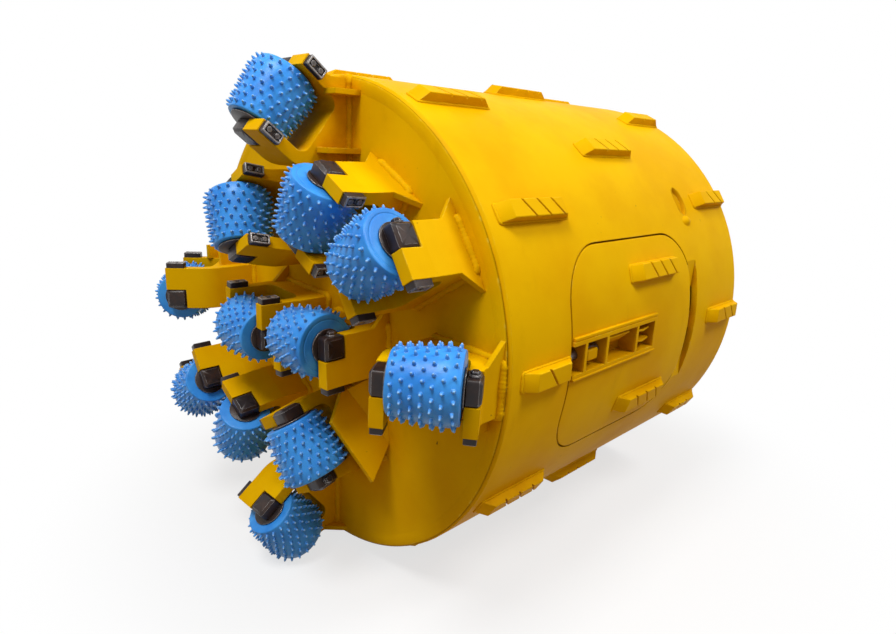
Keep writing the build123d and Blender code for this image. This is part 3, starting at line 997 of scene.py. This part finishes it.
def pad_bead(start, end, angle):
    """A bead round the foot of one bar."""
    middle = np.array([(start + end) / 2, 0])
    outline = even(rounded(rectangle(end - start, PAD_WIDTH), PAD_FOOT_CORNER) + middle, BEAD_STEP)
    return bead(*on_barrel(outline, angle), PAD_BEAD)


drum_beads = joined(*[pad_bead(*pad) for pad in drum_pads])
door_beads = joined(*[pad_bead(*pad) for pad in door_pads])
add_piece("pad_welds", drum_beads, "drum", "yellow_paint", sharp=WELD_SHARP)
add_piece("door_pad_welds", door_beads, "door", "yellow_paint", sharp=WELD_SHARP)

# %% [markdown]
# ## The hollow in the barrel
# Above the door the barrel has a long pointed hollow with a smooth swelling below its lower end. Sculpting
# could shape both. As rings on the barrel they stay exact: the hollow is a bowl of outlines at rising,
# then falling heights, and the swelling is a low dome, whose height falls with the square of the way out.
# The hollow's paint is darkened all over, as painted shade inside it.

# %% Hollow and swelling
HOLLOW_X = 0.970
HOLLOW_ANGLE = radians(33)
LINE_AROUND = 40
# Each line: half width, half length, pointedness, height above the barrel
HOLLOW_LINES = [(0.0300, 0.0520, 1.0, -0.013), (0.0305, 0.0525, 1.0, 0.0004), (0.0290, 0.0510, 1.4, 0.0004),
                (0.0260, 0.0480, 1.5, -0.003), (0.0240, 0.0450, 1.5, -0.011)]
SWELL_PLACE = -0.0690
SWELL_WIDTH = 0.0260
SWELL_LENGTH = 0.0180
SWELL_HEIGHT = 0.010
SWELL_ROOT = -0.004
SWELL_WAYS = (1.0, 0.85, 0.65, 0.4, 0.1)


def on_hollow(lines, middle):
    """Rings on the barrel: x is half width times sin^p, the way round is half length times cos, raised."""
    width, length, point, height = np.array(lines).T[:, :, None]
    angle = np.linspace(0, 2 * pi, LINE_AROUND, endpoint=False)[None]
    along = HOLLOW_X + width * np.sign(np.sin(angle)) * np.abs(np.sin(angle)) ** point
    across = middle + length * np.cos(angle)
    flat = np.stack([along, across], axis=-1).reshape(-1, 2)
    place, outward = on_barrel(flat, HOLLOW_ANGLE)
    raised = place + np.broadcast_to(height, along.shape).reshape(-1, 1) * outward
    return raised.reshape(*along.shape, 3)


swell_lines = [(SWELL_WIDTH, SWELL_LENGTH, 1.0, SWELL_ROOT)]
for way in SWELL_WAYS:
    swell_lines.append((SWELL_WIDTH * way, SWELL_LENGTH * way, 1.0, SWELL_HEIGHT * (1 - way ** 2)))
# A finish darkened all over: painted shade for the inside of the hollow
shaded_hollow_finish = yellow_paint("soiled_paint", rough=0.5, shade_all_over=0.3)
hollow = swept(on_hollow(HOLLOW_LINES, 0.0))
swelling = swept(on_hollow(swell_lines, SWELL_PLACE))
add_piece("barrel_hollow", hollow, "drum", "yellow_paint", finish=shaded_hollow_finish)
add_piece("barrel_swelling", swelling, "drum", "yellow_paint", ["slot_lip"])

# %% [markdown]
# ## Seams of the end plates and the drive box
# The face plate is welded into the rim and the weld is ground flat, so a thin turned ring covers the seam:
# a bead there would be wrong. At the back the welds are left as laid, one bead round the rear plate and
# one round the foot of the square drive box, made by the same bead helper.

# %% Ground seam and rear beads
# Each point: behind the front rim, radius
SEAM_RING = [(-0.0012, 0.672), (-0.0012, 0.687), (0.001, 0.696), (0.001, 0.652)]
SEAM_AROUND = 180
REAR_BEAD = 0.009
REAR_BEAD_RADIUS = 0.678
REAR_PATH_POINTS = 1200
BOX_CORNER = 0.008
seam = swept(turned_rings(SEAM_RING, SEAM_AROUND), closed=True)
add_piece("face_seam", rest_turned(seam), "drum", "yellow_paint")
rear_x = float(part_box("rear_plate")[1][0])
plate_path = turned_rings([(rear_x, REAR_BEAD_RADIUS)], REAR_PATH_POINTS)[0]
box_side = 2 * float(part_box("kelly_box")[1][1])
box_foot = [(rear_x, y, z) for y, z in rectangle(box_side, box_side)]
box_path = even(rounded(box_foot, BOX_CORNER), BEAD_STEP)
rear_beads = [bead(even(path, BEAD_STEP), (1.0, 0, 0), REAR_BEAD) for path in (plate_path, box_path)]
add_piece("rear_welds", joined(*rear_beads), "drum", "yellow_paint", sharp=WELD_SHARP)

# %% [markdown]
# ## Inside the latch pocket
# The pocket in the door holds the latch: a handle block on the bolt, a slanted guard plate and two pointed
# steps, with a thick lip above the pocket and a thin one below. Each could be a scaled cube. As an outline
# carried along a short straight line, each has its own rounded corners and its true size in the mesh.

# %% Latch pocket
# Sizes are across two sides, lines are stations and insets, places are measured from the front rim
LIP_LINE = [(0.253, 0.001), (0.254, 0), (0.684, 0), (0.685, 0.001)]
LIP_CORNER = 0.002
UPPER_LIP, UPPER_LIP_PLACE = (0.012, 0.010), (0, -0.699, 0.066)
LOWER_LIP, LOWER_LIP_PLACE = (0.016, 0.007), (0, -0.700, -0.043)
HANDLE, HANDLE_PLACE = (0.048, 0.032), (0.360, -0.652, 0.004)
HANDLE_LINE = [(0, 0), (0.038, 0), (0.041, 0.003)]
HANDLE_CORNER = 0.005
GUARD, GUARD_PLACE = (0.006, 0.044), (0, -0.684, 0.026)
GUARD_LINE = [(0.420, 0), (0.530, 0)]
GUARD_CORNER = 0.001
GUARD_LEAN = 0.8
STEP_OUTLINE = [(0.577, -0.692), (0.612, -0.701), (0.662, -0.692), (0.668, -0.655), (0.577, -0.655)]
STEP_LINE = [(0, 0), (0.006, 0)]
STEP_LEVELS = [0.026, -0.006]
ALONG_DRUM = np.eye(3)
TO_HEIGHT = np.array([[0.0, 1, 0], [0, 0, 1], [1, 0, 0]])
lean = np.array([[cos(GUARD_LEAN), sin(GUARD_LEAN)], [-sin(GUARD_LEAN), cos(GUARD_LEAN)]])
guard = swept(upright(rounded(rectangle(*GUARD), GUARD_CORNER) @ lean, GUARD_LINE))
step = swept(upright(np.array(STEP_OUTLINE), STEP_LINE))
latch = joined(
    standing(carried(UPPER_LIP, LIP_CORNER, LIP_LINE), ALONG_DRUM, [UPPER_LIP_PLACE]),
    standing(carried(LOWER_LIP, LIP_CORNER, LIP_LINE), ALONG_DRUM, [LOWER_LIP_PLACE]),
    standing(carried(HANDLE, HANDLE_CORNER, HANDLE_LINE), TO_LOW_SIDE, [HANDLE_PLACE]),
    standing(guard, ALONG_DRUM, [GUARD_PLACE]),
    standing(step, TO_HEIGHT, [(0, 0, level) for level in STEP_LEVELS]))
add_piece("latch_details", rest_turned(latch), "door", "yellow_paint")

# %% [markdown]
# ## Floor
# The bit lies on a plain white floor. Enough light to burn the floor white would burn the paint too, so a
# camera ray sees the floor mostly as plain white, mixed with a share of the true lit floor near the bit,
# which keeps its soft shadow. Mirror-like rays see the same white. Light that bounces meets a duller,
# earthy floor, because a bounce from pure white would wash out the underside of the drum.

# %% Floor
FLOOR_HALF = 40.0
FLOOR_COLOUR = (0.92, 0.92, 0.92, 1)
FLOOR_BOUNCE = (0.37, 0.28, 0.18, 1)
FLOOR_ROUGHNESS = 0.9
SHADOW_SHARE = 0.3
SHADOW_X = -0.8
SHADOW_FADE = (0.85, 1.6)
floor_level = float(cad_low[2])
floor_mesh = bpy.data.meshes.new("floor")
floor_corners = [(x, y, floor_level) for x, y in rectangle(2 * FLOOR_HALF, 2 * FLOOR_HALF)]
floor_mesh.from_pydata(floor_corners, [], [(0, 1, 2, 3)])
floor = bpy.data.objects.new("floor", floor_mesh)
bpy.context.scene.collection.objects.link(floor)


def seen_rays(place):
    """1 for rays from the camera, from mirrors and through glass, 0 for light that bounces."""
    names = ("Is Camera Ray", "Is Glossy Ray", "Is Transmission Ray")
    seen, mirrored, through = [place.make("ShaderNodeLightPath", None, None, name) for name in names]
    return seen.math("MINIMUM", seen + mirrored + through, 1.0)


material, shader, place = new_finish("floor")
shader.inputs["Base Color"].default_value = FLOOR_COLOUR
shader.inputs["Roughness"].default_value = FLOOR_ROUGHNESS
shader.inputs["Specular IOR Level"].default_value = 0.0
from_middle = {0: place, 1: (SHADOW_X, 0, floor_level)}
distance = place.make("ShaderNodeVectorMath", {"operation": "DISTANCE"}, from_middle, "Value")
lit_share = SHADOW_SHARE * (1 - distance.between(*SHADOW_FADE))
white = place.make("ShaderNodeEmission", None, {"Strength": 1.0}, "Emission")
lit = Wire(place.tree, shader.outputs["BSDF"])
shown = place.make("ShaderNodeMixShader", None, {0: 1 - lit_share, 1: lit, 2: white})
dull = place.make("ShaderNodeBsdfDiffuse", None, {"Color": FLOOR_BOUNCE}, "BSDF")
whole = place.make("ShaderNodeMixShader", None, {0: seen_rays(place), 1: dull, 2: shown})
whole.feed(place.tree.nodes["Material Output"], "Surface")
floor_mesh.materials.append(material)
print("floor at", round(floor_level, 4))

# %% [markdown]
# ## World and lamps
# The light is that of a plain studio: a pale world that fills the shadows, and two large soft lamps, one
# above the door's side and one above the cutting face. The world shows as white and lights at its own
# lower level, by the same ray test as the floor. Square area lamps are chosen because sun lamps would cut
# hard shadows.

# %% World and lamps
WORLD_LEVEL = 0.3
LAMP_SIZE = 1.6
# Each lamp: name, place, the point that it faces, power in watts
LAMPS = [("key", (0.6, -3.2, 4.2), (-0.6, 0, 0), 127), ("top", (-3.4, -0.7, 4.2), (-1.4, 0, 0), 150)]
world = bpy.data.worlds.new("studio")
bpy.context.scene.world = world
world.use_nodes = True
background = world.node_tree.nodes["Background"]
background.inputs["Color"].default_value = (1, 1, 1, 1)
sky = Wire(world.node_tree, background.outputs["Background"])
(WORLD_LEVEL + (1 - WORLD_LEVEL) * seen_rays(sky)).feed(background, "Strength")
for name, place, target, power in LAMPS:
    data = bpy.data.lights.new(name, "AREA")
    data.size = LAMP_SIZE
    data.energy = power
    ahead = np.subtract(target, place)
    ahead /= np.linalg.norm(ahead)
    right = np.cross(ahead, (0, 0, 1.0))
    aim(bpy.data.objects.new(name, data), right / np.linalg.norm(right), ahead, np.array(place))
print("lamps", len(LAMPS))
